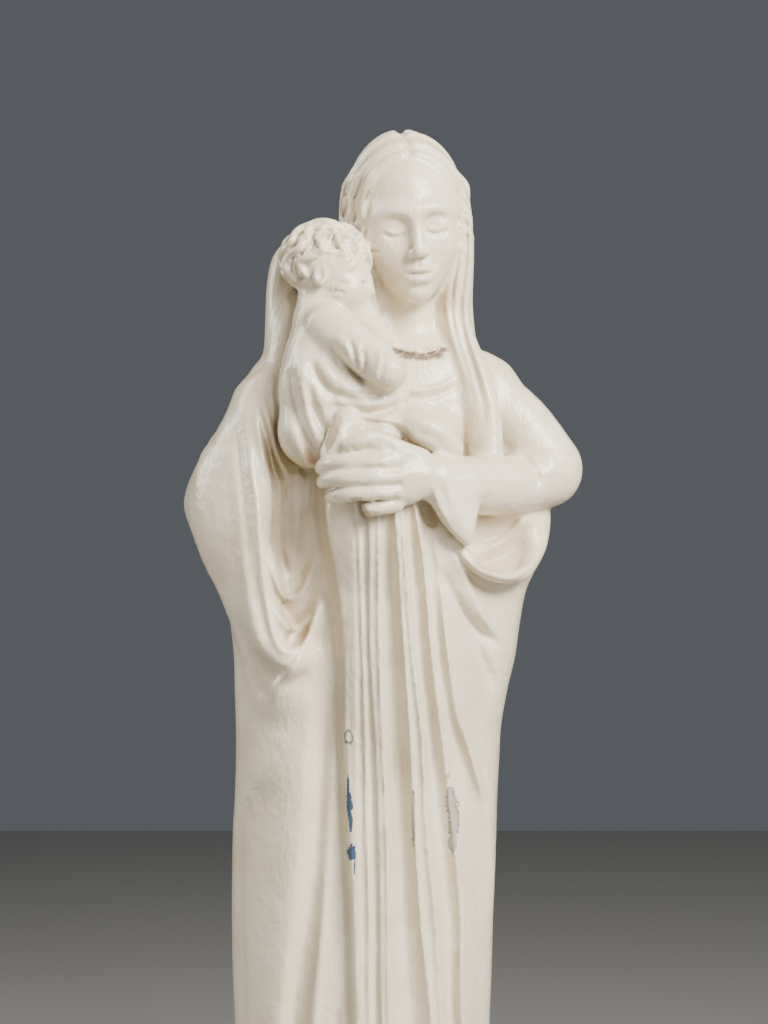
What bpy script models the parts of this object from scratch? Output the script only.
"""A standing mother with a child on her arm, cast in one piece with a low oval base.

Metres, +Z up, the front looks along -Y, the middle of the underside is at the origin.
The figure is drawn on a height of 614 units, from the top of the base to the crown of the
hair, so every place and radius in it is a share of FIGURE_HEIGHT. The base has its own sizes.
"""
import math

import bmesh
import bpy
from mathutils import Euler, Matrix, Vector

FIGURE_HEIGHT = 0.614
BASE_WIDTH = 0.150
BASE_DEPTH = 0.132
BASE_HEIGHT = 0.020
BASE_BEVEL = 0.003
BASE_SEGMENTS = 96

DRAWN_HEIGHT = 614.0    # the figure's height in drawn units
DRAWN_HEM = 20.0        # the drawn height of the top of the base
UNIT = FIGURE_HEIGHT / DRAWN_HEIGHT
GRAIN = 2.0 * UNIT      # the grid on which the forms grow together
TRIANGLES = 9400
GLOSS_WHITE = (0.80, 0.775, 0.72, 1.0)

# height: middle x, middle y, half width, half depth of the gown and mantle
GOWN = {
    16: (-1, 2, 69, 60), 48: (-1, 2, 67, 56.5), 80: (-1.2, 1, 65, 53), 130: (-1.3, 0, 63.5, 49.5),
    188: (-1.3, 0, 63.5, 48), 250: (-1.1, 0, 65.3, 46.5), 302: (0.5, 0, 65.5, 45.7),
    337: (1.7, 0, 66.2, 45.2), 372: (4.7, 0, 70.2, 45), 390: (5, 0, 72.5, 44.5),
    405: (5, 0, 75.5, 44), 415: (4.5, 0, 80.5, 44), 425: (4.6, 1, 85.6, 43), 435: (2.5, 2, 89, 41),
    443: (0.8, 3, 90.7, 39), 450: (-0.6, 4, 90, 37), 460: (-1.3, 5, 86.5, 35), 470: (0, 7, 81.5, 33),
    480: (3, 8, 74.5, 31), 495: (4.2, 9, 67.2, 28), 508: (5.5, 10, 58, 25), 518: (5, 11, 51, 21),
    528: (2, 12, 41, 16),
}
SQUARENESS = 2.25

# the gathered cloth: how far each line stands out, and its x at five heights
FOLD_HEIGHTS = (16, 188, 320, 390, 452)
FOLD_LINES = (
    (-2.6, (-11, -12.5, -16.8, -20, -28)),
    (3.6, (3, -4.5, -9, -11.3, -19.5)),
    (0.2, (5.5, -2.4, -6.5, -8, -14)),
    (4.2, (8.5, 0.2, -3.5, -5.3, -9)),
    (1.2, (12, 3.2, -0.4, -2, -4.6)),
    (3.4, (15.5, 6.2, 1.7, 0, -1.6)),
    (0.2, (18.2, 8.6, 3.5, 1.7, 1)),
    (4.6, (21.5, 11.8, 6.2, 4.2, 3.6)),
    (4.0, (27, 16.6, 10.8, 9, 8.2)),
    (-2.2, (34.5, 23.5, 16.6, 13.8, 11.6)),
    (3.6, (43, 34, 22.2, 18.2, 14.8)),
    (4.0, (50.5, 41, 28, 22.6, 18)),
    (-2.0, (55, 46.4, 34, 27.6, 21.4)),
    (3.2, (59.5, 51, 38.4, 31, 24.4)),
    (-0.6, (63, 55.5, 43.8, 35.2, 27.4)),
    (2.0, (66, 59, 49.2, 39.4, 30.5)),
    (-0.2, (73, 68, 59, 47.6, 39)),
)
FOLD_FADE = 17.0        # how far the gathers fade out to either side

MOTHER_HEAD = ((21, -8, 590), (12, -4.5, 7), 1.0)
CHILD_HEAD = ((-16, -29, 561), (12, 2, 112), 0.87)
CURLS = 46
HAIR_STRANDS = 7


def place(x, y, z):
    """A drawn place, in metres."""
    return Vector((x * UNIT, y * UNIT, BASE_HEIGHT + (z - DRAWN_HEM) * UNIT))


def smooth_rows(at, heights, rows):
    """A smooth curve through rows of numbers, read at one height."""
    at = min(max(at, heights[0]), heights[-1])
    i = max(j for j in range(len(heights) - 1) if heights[j] <= at)
    before, after = max(i - 1, 0), min(i + 2, len(heights) - 1)
    span = heights[i + 1] - heights[i]
    t = (at - heights[i]) / span
    out = []
    for a, b, c, d in zip(rows[before], rows[i], rows[i + 1], rows[after]):
        start = (c - a) / (heights[i + 1] - heights[before]) * span
        end = (d - b) / (heights[after] - heights[i]) * span
        out.append((2 * t**3 - 3 * t**2 + 1) * b + (t**3 - 2 * t**2 + t) * start
                   + (3 * t**2 - 2 * t**3) * c + (t**3 - t**2) * end)
    return out


def ease(low, high, value):
    t = min(max((value - low) / (high - low), 0.0), 1.0)
    return t * t * (3 - 2 * t)


def fold_height(x, lines):
    """How far the gathered cloth stands out at x, between sharp edges and hollow flutes."""
    tops = [top for top, _ in FOLD_LINES]
    if x < lines[0]:
        return tops[0] * (1 - ease(0, FOLD_FADE, lines[0] - x))
    if x >= lines[-1]:
        return tops[-1] * (1 - ease(0, FOLD_FADE, x - lines[-1]))
    i = max(j for j in range(len(lines) - 1) if lines[j] <= x)
    t = (x - lines[i]) / max(lines[i + 1] - lines[i], 0.2)
    low, high = tops[i], tops[i + 1]
    if low < high:
        return low + (high - low) * t**1.7
    return high + (low - high) * (1 - t)**1.7


def back_fold(x, z):
    """The broad shallow folds that fall down the back."""
    return 1.9 * math.cos(x * 0.235 + 0.6 * math.sin(z * 0.008)) + 1.1 * math.cos(x * 0.11 + 1.0)


class Clay:
    """Loose overlapping forms: balls and lofts as faces, limbs as the splines of one curve."""

    def __init__(self):
        self.points, self.faces, self.balls = [], [], {}
        self.curve = bpy.data.curves.new("limbs", "CURVE")
        self.curve.dimensions = "3D"
        self.curve.bevel_depth = 1.0
        self.curve.bevel_resolution = 3
        self.curve.resolution_u = 4
        self.curve.use_fill_caps = True

    def shell(self, points, faces):
        start = len(self.points)
        self.points += points
        self.faces += [tuple(start + i for i in face) for face in faces]

    def ball(self, matrix, detail):
        """A unit ball under a matrix, split more finely where more detail is asked."""
        if detail not in self.balls:
            ball = bmesh.new()
            bmesh.ops.create_uvsphere(ball, u_segments=detail, v_segments=detail * 2 // 3, radius=1.0)
            self.balls[detail] = ([v.co.copy() for v in ball.verts],
                                  [[v.index for v in f.verts] for f in ball.faces])
            ball.free()
        points, faces = self.balls[detail]
        self.shell([matrix @ p for p in points], faces)

    def tube(self, centres, radii):
        """A round tube whose radius changes along a smooth path, with a ball at either end."""
        spline = self.curve.splines.new("BEZIER")
        spline.bezier_points.add(len(centres) - 1)
        for point, centre, radius in zip(spline.bezier_points, centres, radii):
            point.co = centre
            point.radius = radius
            point.handle_left_type = point.handle_right_type = "AUTO"
        for end in (0, -1):
            self.ball(Matrix.Translation(centres[end]) @ Matrix.Scale(radii[end], 4), 12)

    def take(self, obj):
        """Takes in an object's faces and drops the object."""
        self.shell([v.co.copy() for v in obj.data.vertices],
                   [tuple(p.vertices) for p in obj.data.polygons])
        drop(obj)

    def finish(self, name):
        """All the forms in one object."""
        if self.curve.splines:
            holder = bpy.data.objects.new("limbs", self.curve)
            bpy.context.scene.collection.objects.link(holder)
            tubes = bpy.data.meshes.new_from_object(holder.evaluated_get(
                bpy.context.evaluated_depsgraph_get()))
            self.shell([v.co.copy() for v in tubes.vertices],
                       [tuple(p.vertices) for p in tubes.polygons])
            bpy.data.objects.remove(holder)
            bpy.data.meshes.remove(tubes)
        bpy.data.curves.remove(self.curve)
        mesh = bpy.data.meshes.new(name)
        mesh.from_pydata(self.points, [], self.faces)
        obj = bpy.data.objects.new(name, mesh)
        bpy.context.scene.collection.objects.link(obj)
        return obj


def add_gown(clay, around=96, rise=8.0):
    """The gown and mantle, lofted through their sections."""
    keys = list(GOWN)
    count = int((keys[-1] - keys[0]) / rise)
    points = []
    for k in range(count + 1):
        z = keys[0] + (keys[-1] - keys[0]) * k / count
        cx, cy, wide, deep = smooth_rows(z, keys, list(GOWN.values()))
        for i in range(around):
            angle = 2 * math.pi * i / around
            c, s = math.cos(angle), math.sin(angle)
            points.append(place(cx + wide * math.copysign(abs(c) ** (2 / SQUARENESS), c),
                                cy + deep * math.copysign(abs(s) ** (2 / SQUARENESS), s), z))
    faces = [tuple(range(around))[::-1], tuple(range(count * around, (count + 1) * around))]
    for k in range(count):
        low, high = k * around, (k + 1) * around
        for i in range(around):
            j = (i + 1) % around
            faces.append((low + i, low + j, high + j, high + i))
    clay.shell(points, faces)


def carve_folds(cloth):
    """Draws the gathers out of the front of the cloth, and broad folds out of its back."""
    table = list(zip(*(line for _, line in FOLD_LINES)))
    lines_at = {}
    normals = [vert.normal.copy() for vert in cloth.data.vertices]
    for vert, normal in zip(cloth.data.vertices, normals):
        x, y = vert.co.x / UNIT, vert.co.y / UNIT
        z = (vert.co.z - BASE_HEIGHT) / UNIT + DRAWN_HEM
        key = round(z)
        if key not in lines_at:
            lines_at[key] = smooth_rows(key, FOLD_HEIGHTS, table)
        push = 0.0
        if y < -2 and z < 466:
            push += fold_height(x, lines_at[key]) * ease(-2, -22, y) * ease(466, 446, z)
        if y > 6 and z < 505:
            push += back_fold(x, z) * ease(6, 30, y) * ease(505, 440, z) * ease(80, 60, abs(x))
        if push:
            vert.co += normal * (push * UNIT)


class Stand:
    """Where drawn places are measured from: the figure itself, or the middle of a head."""

    def __init__(self, middle=(0, 0, 0), turn=(0, 0, 0), scale=1.0):
        self.middle, self.scale = Vector(middle), scale
        self.turn = Euler([math.radians(a) for a in turn], "XYZ").to_matrix()

    def spot(self, p):
        return place(*(self.middle + self.turn @ (Vector(p) * self.scale)))

    def egg(self, clay, centre, radii, turn=(0, 0, 0), detail=20):
        own = Euler([math.radians(a) for a in turn], "XYZ").to_matrix()
        size = Matrix.Diagonal(Vector(radii) * self.scale * UNIT).to_4x4()
        clay.ball(Matrix.Translation(self.spot(centre)) @ (self.turn @ own).to_4x4() @ size, detail)

    def limb(self, clay, rows):
        """A round limb through (x, y, z, radius) rows."""
        clay.tube([self.spot(row[:3]) for row in rows], [row[3] * self.scale * UNIT for row in rows])


FIGURE = Stand()


def both_sides(rows):
    """A row of points from one side to the middle, and its mirror."""
    return list(rows) + [(-r[0],) + tuple(r[1:]) for r in rows[-2::-1]]


def add_cloth_masses(clay):
    add_gown(clay)
    FIGURE.limb(clay, [(-44, -6, 500, 9), (-58, -10, 482, 13), (-68, -13, 460, 17.5),
                       (-66, -17, 434, 18.5), (-57, -22, 408, 17), (-47, -26, 382, 16),
                       (-38, -27, 358, 15)])
    FIGURE.egg(clay, (17, -33, 405), (37, 21, 78), detail=32)
    FIGURE.egg(clay, (8, -44, 440), (26, 14, 29), detail=28)


def pocket_cutters(clay):
    """The hollows inside the mantle, left of the gathers and under the sleeve."""
    FIGURE.limb(clay, [(-33, -56, 376, 5), (-36, -48, 392, 10.5), (-37, -43, 414, 15.5),
                       (-37, -40, 440, 17.5), (-39, -38, 468, 17.5), (-42, -36, 496, 13)])
    FIGURE.egg(clay, (70, -34, 432), (20, 20, 19), (0, -12, 0), 28)
    FIGURE.egg(clay, (68, -32, 450), (22, 17, 14), detail=28)


def add_body(clay):
    FIGURE.egg(clay, (22, 0, 492), (43, 28, 46), detail=28)
    FIGURE.limb(clay, [(-14, 6, 508, 15), (22, 4, 512, 17), (48, 3, 512, 15), (62, 2, 508, 13.5)])
    FIGURE.limb(clay, [(23, 2, 515, 18), (22.5, 0, 535, 15.5), (22, 2, 562, 15.5)])
    # the arm that carries the child, and the cuff that hangs from its wrist
    FIGURE.limb(clay, [(56, 2, 508, 14), (76, 0, 488, 16.5), (91, -3, 467, 17)])
    FIGURE.limb(clay, [(91, -4, 463, 16.5), (74, -18, 458, 15), (57, -33, 457, 14.5),
                       (43, -47, 458, 13), (35, -54, 459, 12)])
    FIGURE.limb(clay, [(36, -57, 460, 8), (39, -59, 450, 7.5), (43, -59, 440, 5.5),
                       (48, -56, 431.5, 3)])
    FIGURE.limb(clay, [(46, -50, 455, 10), (49, -53, 445, 6.5), (50, -55, 435, 3.4)])


def add_hand(clay):
    FIGURE.limb(clay, [(38, -54, 460, 9), (28, -60, 460.5, 9)])
    FIGURE.egg(clay, (18, -63.5, 460), (15.5, 8, 13), (0, -3, 8), 16)
    for height, reach in ((467.5, 0), (460.5, 0), (453.5, 3)):
        FIGURE.limb(clay, [(12, -67.5, height, 4.3), (1 + reach / 2, -71, height, 4.1),
                           (-10 + reach, -70.3, height - 0.5, 3.9),
                           (-17.5 + reach, -65.5, height - 1.5, 3.7),
                           (-20 + reach, -58, height - 3, 3.5)])
    FIGURE.limb(clay, [(14, -64, 447.8, 4.1), (7, -66.5, 446.2, 3.9), (1, -66.5, 444.5, 3.5)])
    FIGURE.limb(clay, [(26, -60, 468, 7), (16, -66, 473, 5.2), (6, -70, 477.5, 4.3),
                       (-1, -71, 478, 4), (-5, -71, 477, 3.4)])


def add_mother_head(clay):
    head = Stand(*MOTHER_HEAD)
    head.egg(clay, (0, 3, 6), (26.5, 34, 33), detail=28)
    head.egg(clay, (0, -9, -9), (23.5, 25.5, 31), detail=28)
    head.egg(clay, (0, -17, -25), (15.5, 16.5, 14.5))
    head.egg(clay, (0, -27.5, -35.2), (6.8, 6.2, 5.4), detail=14)
    head.limb(clay, both_sides([(-17, -26, 5, 3), (-9, -30.5, 6.8, 3), (0, -31.2, 5, 3)]))
    head.limb(clay, [(0, -32, 3, 2.4), (0, -36, -4, 2.7), (0, -39.6, -10.5, 3.1),
                     (0, -41, -14.3, 3.4)])
    head.limb(clay, both_sides([(-8, -32.5, -25.6, 0.9), (-4, -35.6, -24.3, 1.7),
                                (0, -36, -24.4, 1.9)]))
    head.limb(clay, both_sides([(-7, -32.5, -27, 0.9), (-3.6, -34.8, -28.4, 1.9),
                                (0, -35.2, -28.9, 2.1)]))
    for side in (-1, 1):
        head.egg(clay, (side * 13, -21, -10), (9, 9, 12), detail=16)
        head.egg(clay, (side * 10.4, -28.4, -2.2), (6.6, 5, 5.4), detail=16)
        head.egg(clay, (side * 3.8, -37, -15.6), (2.5, 3.4, 2.6), detail=10)


def hair_cap(head, around, face):
    """A shell of hair over a head: one egg with another scooped out of it, as an object."""
    shell, scoop = Clay(), Clay()
    head.egg(shell, *around, detail=36)
    head.egg(scoop, *face, detail=36)
    return boolean(shell.finish("hair cap"), scoop.finish("face opening"), "DIFFERENCE",
                   keep_tool=False)


def add_mother_hair(clay):
    head = Stand(*MOTHER_HEAD)
    middle, radii = Vector((0, 5, 2)), Vector((29.5, 36, 40.5))
    clay.take(hair_cap(head, (middle, radii), ((0, -38, -3), (29.5, 33.5, 43))))
    for side in (-1, 1):
        for j in range(HAIR_STRANDS):
            u = j / (HAIR_STRANDS - 1)
            start = Vector((side * 0.06, -0.5 + 1.0 * u, 1.0 - 0.35 * (1.4 * u - 0.7) ** 2))
            end = Vector((side, -0.5 + 1.15 * u, -0.55))
            rows = []
            for k in range(6):
                t = k / 5
                swell = math.sin(math.pi * t)
                way = start.lerp(end, t) + Vector((side * 0.75, -0.1, 0.35)) * swell
                way.normalize()
                spot = [m + w * (r - 1.0) for m, w, r in zip(middle, way, radii)]
                rows.append((*spot, 2.5 + 1.0 * math.sin(math.pi * min(1, t + 0.15))))
            head.limb(clay, rows)
    FIGURE.limb(clay, [(21, 20, 590, 20), (20, 22, 562, 20), (20, 22, 535, 21), (21, 22, 512, 17),
                       (22, 24, 492, 9)])
    for rows in (
        # down over the breast on one side
        [(36, -6, 618, 3), (43, -11, 604, 5.4), (46.4, -13, 589, 6.4), (47.4, -12, 573, 6.8),
         (46.6, -10, 557, 7), (45.8, -9, 542, 7), (49, -13, 527, 7.2), (55, -18, 512, 7.6),
         (59.5, -22, 496, 7.4), (61.5, -25, 480, 6.8), (61, -28, 464, 6)],
        [(43, 2, 604, 9), (44.5, 3, 576, 10.2), (43.5, 5, 548, 11), (46, 6, 526, 10.5)],
        [(41, -10, 572, 4), (39.5, -7, 557, 5.6), (40.5, -6, 540, 6.4), (45, -9, 524, 6.6),
         (51, -16, 508, 6.6), (54.5, -21, 492, 6.2), (56, -24, 476, 5.6), (56, -26, 462, 4.4)],
        # and behind the child's head on the other
        [(-4, -14, 608, 4.8), (-6, -13, 592, 5.8), (-3.5, -13, 573, 7.2), (1, -17, 556, 7.6),
         (5.5, -20, 541, 6.4), (9, -23, 527, 5)],
        [(-4, -2, 604, 8.4), (-4, 0, 585, 9.4), (-3, 2, 560, 10.4), (-2, 2, 530, 10.4)],
    ):
        FIGURE.limb(clay, rows)


def add_mantle_edges(clay):
    """The cloth that rises behind the child, and the edges and folds round both pockets."""
    FIGURE.limb(clay, [(-24, -2, 574, 7), (-32, -4, 573, 8), (-39, -4, 568, 8.5),
                       (-40.5, -5, 555, 8.5), (-41, -6, 538, 8.5), (-43.5, -8, 522, 9),
                       (-50, -10, 508, 11), (-55, -12, 494, 12)])
    FIGURE.limb(clay, [(-26, 4, 566, 10), (-27, 4, 548, 14), (-26, 4, 525, 16), (-30, 2, 505, 18)])
    FIGURE.limb(clay, [(-34, -12, 540, 7), (-37, -16, 522, 10), (-39, -20, 502, 12.5),
                       (-38, -21, 484, 13.5), (-37, -16, 462, 13.5), (-37, -10, 440, 13)])
    FIGURE.limb(clay, [(-52, -14, 512, 3), (-57, -26, 494, 4), (-57, -34, 474, 4.8),
                       (-55, -40, 450, 5), (-53.5, -43.5, 428, 5), (-51.5, -45.5, 405, 5),
                       (-48.5, -47, 387, 5), (-42.5, -48, 376, 5), (-36, -47, 372, 5),
                       (-30, -43, 372, 4)])
    for rows in (
        [(-46, -36, 350, 2.6), (-42, -40, 359, 3), (-36, -43, 367, 3), (-30, -42, 376, 2.8),
         (-25, -42, 388, 2.4)],
        [(-47, -30, 430, 2.8), (-45, -34, 408, 3), (-39, -36, 396, 3), (-31, -38, 398, 3),
         (-26, -36, 412, 2.8)],
        [(-50, -21, 508, 2.4), (-46.5, -30, 486, 2.8), (-42, -33, 468, 2.8), (-36, -31, 456, 2.2)],
        [(45, -49, 430, 2.6), (50, -50, 422, 3), (56, -47, 416, 3.2), (64, -42, 413, 3.4),
         (72, -36, 412.5, 3.4), (79, -28, 415, 3.4), (84.5, -18, 423, 3.2), (87, -9, 434, 3),
         (87.5, 0, 446, 3)],
        [(54, -26, 421, 3.2), (63, -19, 426, 4), (72, -15, 433, 4), (79, -17, 441, 3.5)],
    ):
        FIGURE.limb(clay, rows)


def add_child(clay):
    FIGURE.limb(clay, [(-22, -33, 540, 12), (-20, -31, 552, 12)])
    FIGURE.limb(clay, [(-20, -37, 531, 15.5), (-22, -40, 510, 19), (-23, -40, 486, 18)])
    FIGURE.limb(clay, [(-18, -48, 534, 11), (-6, -55, 524, 11.5), (6, -59, 516, 10.5)])
    FIGURE.limb(clay, [(2, -60, 517, 9), (12, -62.5, 514.5, 7.6)])
    FIGURE.limb(clay, [(-22, -44, 506, 17), (-6, -49, 498, 13.5), (9, -50, 498, 9),
                       (16, -48, 501, 6)])
    FIGURE.limb(clay, [(-24, -42, 482, 18), (-8, -49, 482, 12), (8, -55, 483, 9)])
    FIGURE.limb(clay, [(16, -50, 486, 8), (30, -52, 482, 8.5), (41, -49, 476, 6)])


def add_child_head(clay):
    head = Stand(*CHILD_HEAD)
    head.egg(clay, (0, 2, 4), (21, 22.5, 20.5), detail=24)
    head.egg(clay, (0, -8, -7), (16.5, 15.5, 16))
    head.egg(clay, (0, -18, -18.5), (4.6, 4.4, 3.8), detail=10)
    head.limb(clay, [(0, -21, 0, 1.8), (0, -23, -4, 2.1), (0, -25.5, -7, 2.5)])
    head.limb(clay, both_sides([(-4, -20.5, -13, 1.6), (0, -22.6, -13, 2.4)]))
    for side in (-1, 1):
        head.egg(clay, (side * 8.5, -13, -9.5), (7.3, 7.3, 7.3), detail=12)
        head.egg(clay, (side * 7.8, -18.6, -2), (4, 3.4, 3.3), detail=10)
        head.egg(clay, (side * 20, 2, -5), (2.6, 4.8, 6), (0, 0, side * -20), 10)
    middle, radii = Vector((0, 4, 5)), Vector((22.6, 23.6, 22))
    clay.take(hair_cap(head, (middle, radii), ((0, -26, -10), (23, 21, 22))))
    for i in range(CURLS):
        height = 1 - 1.55 * (i + 0.5) / CURLS
        angle = i * math.pi * (3 - math.sqrt(5))
        wide = math.sqrt(1 - height * height)
        way = Vector((wide * math.cos(angle), wide * math.sin(angle), height))
        if way.y < -0.62 and way.z < 0.35 or abs(way.x) > 0.6 and way.z < -0.1 and way.y < 0.2:
            continue
        down = (Vector((0, 0, -1)) + way * way.z).normalized()
        bend = 1 if i % 2 else -1
        aside = way.cross(down) * bend
        rows = []
        for k in range(5):
            t = k / 4
            off = (down * (t * 6.5 - 2.5) + aside * 2.6 * math.sin(t * 4.2)) / 22
            turn = (way + off).normalized()
            spot = [m + w * (r + 0.6) for m, w, r in zip(middle, turn, radii)]
            rows.append((*spot, 2.6 * (1 - 0.4 * t)))
        head.limb(clay, rows)


def drop(obj):
    mesh = obj.data
    bpy.data.objects.remove(obj)
    bpy.data.meshes.remove(mesh)


def settle(obj):
    """Applies the modifiers of an object."""
    mesh = bpy.data.meshes.new_from_object(obj.evaluated_get(bpy.context.evaluated_depsgraph_get()))
    old = obj.data
    obj.modifiers.clear()
    obj.data = mesh
    bpy.data.meshes.remove(old)
    return obj


def grow_together(obj, grain, rounds):
    """Melts overlapping forms into one skin and eases the seams between them."""
    remesh = obj.modifiers.new("skin", "REMESH")
    remesh.mode = "VOXEL"
    remesh.voxel_size = grain
    remesh.adaptivity = 0.0
    if rounds:
        smooth = obj.modifiers.new("ease", "SMOOTH")
        smooth.factor = 0.5
        smooth.iterations = rounds
    return settle(obj)


def boolean(body, tool, operation, keep_tool=True):
    cut = body.modifiers.new("boolean", "BOOLEAN")
    cut.operation = operation
    cut.solver = "EXACT"
    cut.object = tool
    settle(body)
    if not keep_tool:
        drop(tool)
    return body


def keep_largest(obj):
    """Drops closed bubbles that are left inside the skin."""
    skin = bmesh.new()
    skin.from_mesh(obj.data)
    groups, seen = [], set()
    for face in skin.faces:
        if face in seen:
            continue
        group, edge_of = [face], [face]
        seen.add(face)
        while edge_of:
            for edge in edge_of.pop().edges:
                for other in edge.link_faces:
                    if other not in seen:
                        seen.add(other)
                        group.append(other)
                        edge_of.append(other)
        groups.append(group)
    groups.sort(key=len, reverse=True)
    loose = [face for group in groups[1:] for face in group]
    bmesh.ops.delete(skin, geom=loose, context="FACES")
    stray = [vert for vert in skin.verts if not vert.link_faces]
    bmesh.ops.delete(skin, geom=stray, context="VERTS")
    skin.to_mesh(obj.data)
    skin.free()


def make_base():
    """The low oval base, with a small bevel round its top and foot."""
    disc = bmesh.new()
    bmesh.ops.create_cone(disc, cap_ends=True, segments=BASE_SEGMENTS, radius1=0.5, radius2=0.5,
                          depth=1.0, matrix=Matrix.Translation((0, 0, BASE_HEIGHT / 2))
                          @ Matrix.Diagonal((BASE_WIDTH, BASE_DEPTH, BASE_HEIGHT, 1.0)))
    mesh = bpy.data.meshes.new("base")
    disc.to_mesh(mesh)
    disc.free()
    base = bpy.data.objects.new("base", mesh)
    bpy.context.scene.collection.objects.link(base)
    bevel = base.modifiers.new("bevel", "BEVEL")
    bevel.width = BASE_BEVEL
    bevel.segments = 2
    bevel.limit_method = "ANGLE"
    bevel.angle_limit = math.radians(50)
    return settle(base)


def tidy(obj):
    """Welds slivers, splits every face into triangles and turns them all outwards."""
    skin = bmesh.new()
    skin.from_mesh(obj.data)
    bmesh.ops.remove_doubles(skin, verts=skin.verts, dist=2e-5)
    bmesh.ops.dissolve_degenerate(skin, edges=skin.edges, dist=1e-5)
    bmesh.ops.triangulate(skin, faces=skin.faces)
    bmesh.ops.recalc_face_normals(skin, faces=skin.faces)
    skin.to_mesh(obj.data)
    skin.free()


def thin_out(obj, triangles):
    """Fewer, longer triangles, most of them left where the forms turn sharply."""
    fewer = obj.modifiers.new("fewer", "DECIMATE")
    fewer.ratio = triangles / sum(len(p.vertices) - 2 for p in obj.data.polygons)
    return settle(obj)


def painted_plaster():
    paint = bpy.data.materials.new("cast plaster with gloss white paint")
    paint.use_nodes = True
    shader = paint.node_tree.nodes["Principled BSDF"]
    shader.inputs["Base Color"].default_value = GLOSS_WHITE
    shader.inputs["Roughness"].default_value = 0.3
    paint.diffuse_color = GLOSS_WHITE
    return paint


def main():
    for obj in list(bpy.data.objects):
        bpy.data.objects.remove(obj, do_unlink=True)
    parts = bpy.data.collections.new("madonna and child")
    cutters = bpy.data.collections.new("cutters")
    bpy.context.scene.collection.children.link(parts)
    bpy.context.scene.collection.children.link(cutters)
    cutters.hide_render = True

    clay = Clay()
    add_cloth_masses(clay)
    cloth = thin_out(grow_together(clay.finish("cloth"), GRAIN, 3), TRIANGLES)
    tool = Clay()
    pocket_cutters(tool)
    pockets = grow_together(tool.finish("mantle pockets"), 2 * GRAIN, 1)
    boolean(cloth, pockets, "DIFFERENCE")
    grow_together(cloth, GRAIN, 2)
    carve_folds(cloth)

    clay = Clay()
    clay.take(cloth)
    for add in (add_body, add_mantle_edges, add_child, add_hand, add_mother_head,
                add_mother_hair, add_child_head):
        add(clay)
    figure = grow_together(clay.finish("madonna_and_child"), GRAIN, 2)
    keep_largest(figure)
    thin_out(figure, TRIANGLES)
    figure = boolean(figure, make_base(), "UNION", keep_tool=False)
    tidy(figure)
    keep_largest(figure)

    figure.name = figure.data.name = "madonna_and_child"
    figure.data.materials.clear()
    figure.data.materials.append(painted_plaster())
    for polygon in figure.data.polygons:
        polygon.material_index = 0
    for obj, home in ((figure, parts), (pockets, cutters)):
        bpy.context.scene.collection.objects.unlink(obj)
        home.objects.link(obj)
    pockets.hide_render = True
    pockets.display_type = "WIRE"


if __name__ == "__main__":
    main()
